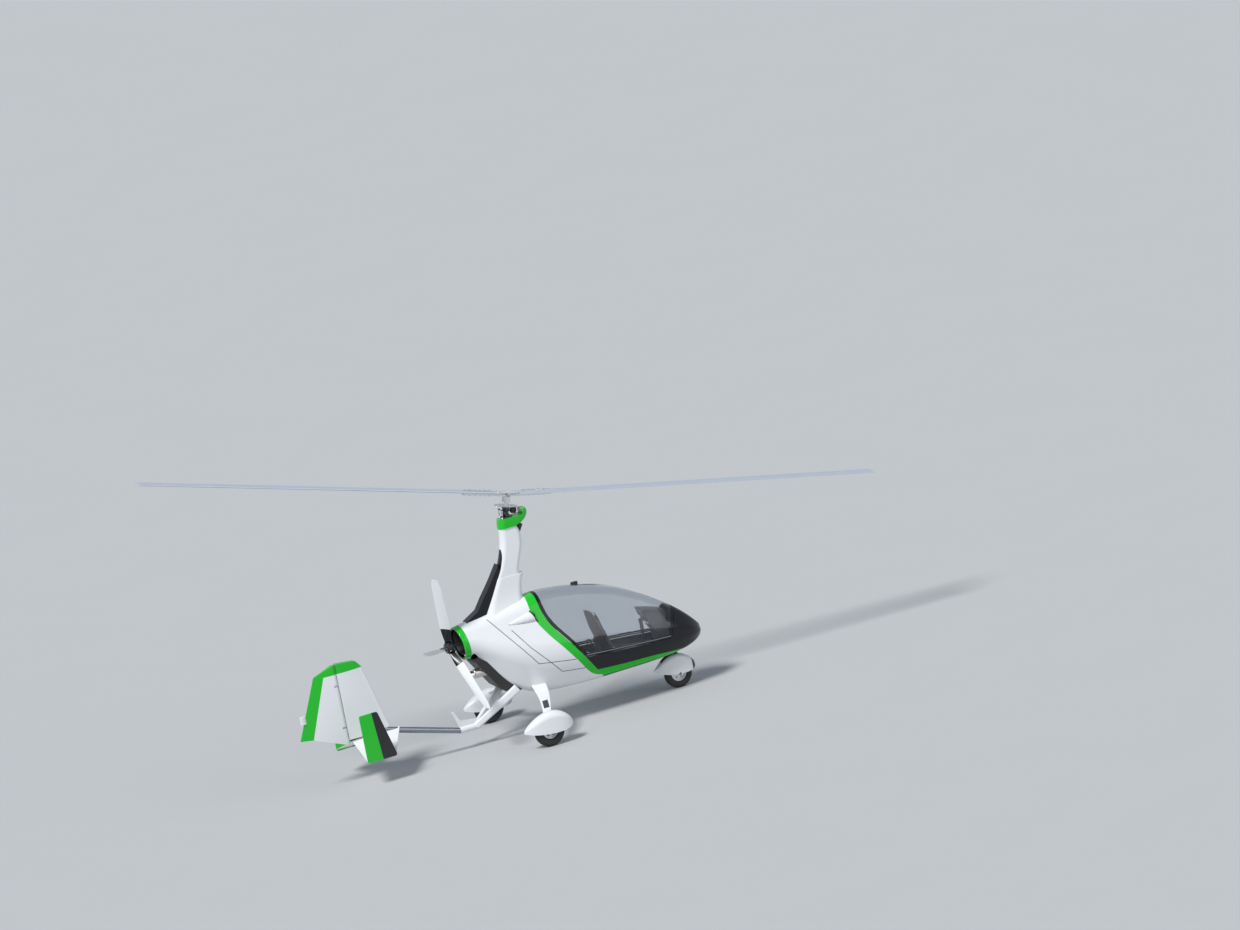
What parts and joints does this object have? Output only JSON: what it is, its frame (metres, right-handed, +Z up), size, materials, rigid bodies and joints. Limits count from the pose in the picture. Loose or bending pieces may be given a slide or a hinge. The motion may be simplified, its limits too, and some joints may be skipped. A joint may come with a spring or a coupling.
{
  "type": "gyrocopter",
  "caption": "Enclosed tandem gyrocopter with a pusher propeller, teetering rotor on a faired mast, swept tail boom and faired tricycle gear.",
  "frame": {"origin": "on the ground below the middle of the machine's box, on its mid-plane", "axes": "+X to the nose, +Y to port, +Z up; the machine stands on its three wheels"},
  "size_m": [8.3281, 1.882, 3.8868],
  "materials": {
    "white_gelcoat": "gloss white gelcoat",
    "body_paint": "gloss white with a bright green band and thin grey pinstripes",
    "black_gelcoat": "gloss black gelcoat with a green belly strip",
    "green_gelcoat": "gloss bright green",
    "tail_paint": "gloss white with bright green edge and cap",
    "plate_paint": "green rear half and black front half",
    "pant_paint": "gloss white",
    "smoked_canopy": "smoked acrylic",
    "canopy_rail": "gloss black",
    "black_trim": "satin black moulding",
    "engine_cover": "dark cast and painted engine block",
    "carbon_panel": "carbon fibre lay-up",
    "blade_skin": "light grey anodised and painted blade",
    "prop_paint": "white rear face, black front face and root",
    "machined_alloy": "machined aluminium",
    "dark_steel": "blackened steel",
    "boom_alloy": "grey anodised tube",
    "exhaust_steel": "stainless steel, heat tinted",
    "seat_shell": "black composite shell",
    "seat_fabric": "dark woven cover",
    "tyre_rubber": "black rubber",
    "rim_alloy": "cast aluminium",
    "light_lens": "clear lamp cover"
  },
  "bodies": {
    "airframe": {"nose_tub": "black_gelcoat", "rear_body": "body_paint", "cabin_floor": "carbon_panel", "engine_block": "engine_cover", "cowl_ring": "green_gelcoat", "front_seat": "seat_shell", "rear_seat": "seat_shell", "front_cushions": "seat_fabric", "rear_cushions": "seat_fabric", "instrument_panel": "carbon_panel", "cabin_controls": "black_trim", "mast_fairing": "white_gelcoat", "mast_cap": "green_gelcoat", "mast_duct": "black_trim", "head_base": "dark_steel", "tail_fork": "white_gelcoat", "tail_boom": "boom_alloy", "fin": "tail_paint", "stabiliser": "white_gelcoat", "end_plates": "plate_paint", "main_legs": "white_gelcoat", "main_axles": "dark_steel", "main_pants": "pant_paint", "exhaust": "exhaust_steel", "radiator_duct": "black_trim"},
    "canopy": {"canopy_frame": "canopy_rail", "canopy_glass": "smoked_canopy", "canopy_vent": "black_trim"},
    "head_pitch": {"head_cross": "dark_steel"},
    "head_roll": {"head_block": "dark_steel"},
    "rotor": {"rotor_shaft": "dark_steel", "gear_disc": "machined_alloy"},
    "teeter": {"hub_bar": "machined_alloy", "rotor_blades": "blade_skin"},
    "propeller": {"prop_hub": "black_trim", "prop_blades": "prop_paint"},
    "rudder": {"rudder": "tail_paint", "tail_light": "light_lens"},
    "nose_steering": {"nose_fork": "dark_steel", "nose_pant": "pant_paint"},
    "nose_wheel": {"nose_tyre": "tyre_rubber", "nose_rim": "rim_alloy"},
    "left_wheel": {"left_tyre": "tyre_rubber", "left_rim": "rim_alloy"},
    "right_wheel": {"right_tyre": "tyre_rubber", "right_rim": "rim_alloy"}
  },
  "joints": [
    {"name": "canopy_hinge", "type": "hinge", "parent": "airframe", "child": "canopy", "pos_m": [0.78302, 0.352, 0.712], "axis": [-1, 0, 0], "range_deg": [0, 75]},
    {"name": "head_tilt", "type": "hinge", "parent": "airframe", "child": "head_pitch", "pos_m": [-0.09172, 0, 2.42428], "axis": [0, -1, 0], "range_deg": [0, 16]},
    {"name": "head_bank", "type": "hinge", "parent": "head_pitch", "child": "head_roll", "pos_m": [-0.08327, 0, 2.45722], "axis": [0.9686, 0, -0.2487], "range_deg": [-8, 8]},
    {"name": "rotor_spin", "type": "hinge", "parent": "head_roll", "child": "rotor", "pos_m": [-0.04198, 0, 2.618], "axis": [0.2487, 0, 0.9686], "continuous": true},
    {"name": "rotor_teeter", "type": "hinge", "parent": "rotor", "child": "teeter", "pos_m": [-0.04198, 0, 2.618], "axis": [0, 1, 0], "range_deg": [-7, 7]},
    {"name": "propeller_spin", "type": "hinge", "parent": "airframe", "child": "propeller", "pos_m": [-1.04198, 0, 1.16048], "axis": [-0.9936, 0, -0.1132], "continuous": true},
    {"name": "rudder_hinge", "type": "hinge", "parent": "airframe", "child": "rudder", "pos_m": [-2.42298, 0, 0.875], "axis": [0, 0, 1], "range_deg": [-25, 25]},
    {"name": "nose_steer", "type": "hinge", "parent": "airframe", "child": "nose_steering", "pos_m": [1.52302, 0, 0.45], "axis": [0, 0, 1], "range_deg": [-25, 25]},
    {"name": "nose_wheel_spin", "type": "hinge", "parent": "nose_steering", "child": "nose_wheel", "pos_m": [1.50302, 0, 0.162], "axis": [0, 1, 0], "continuous": true},
    {"name": "left_wheel_spin", "type": "hinge", "parent": "airframe", "child": "left_wheel", "pos_m": [-0.41698, 0.855, 0.175], "axis": [0, 1, 0], "continuous": true},
    {"name": "right_wheel_spin", "type": "hinge", "parent": "airframe", "child": "right_wheel", "pos_m": [-0.41698, -0.855, 0.175], "axis": [0, 1, 0], "continuous": true}
  ]
}
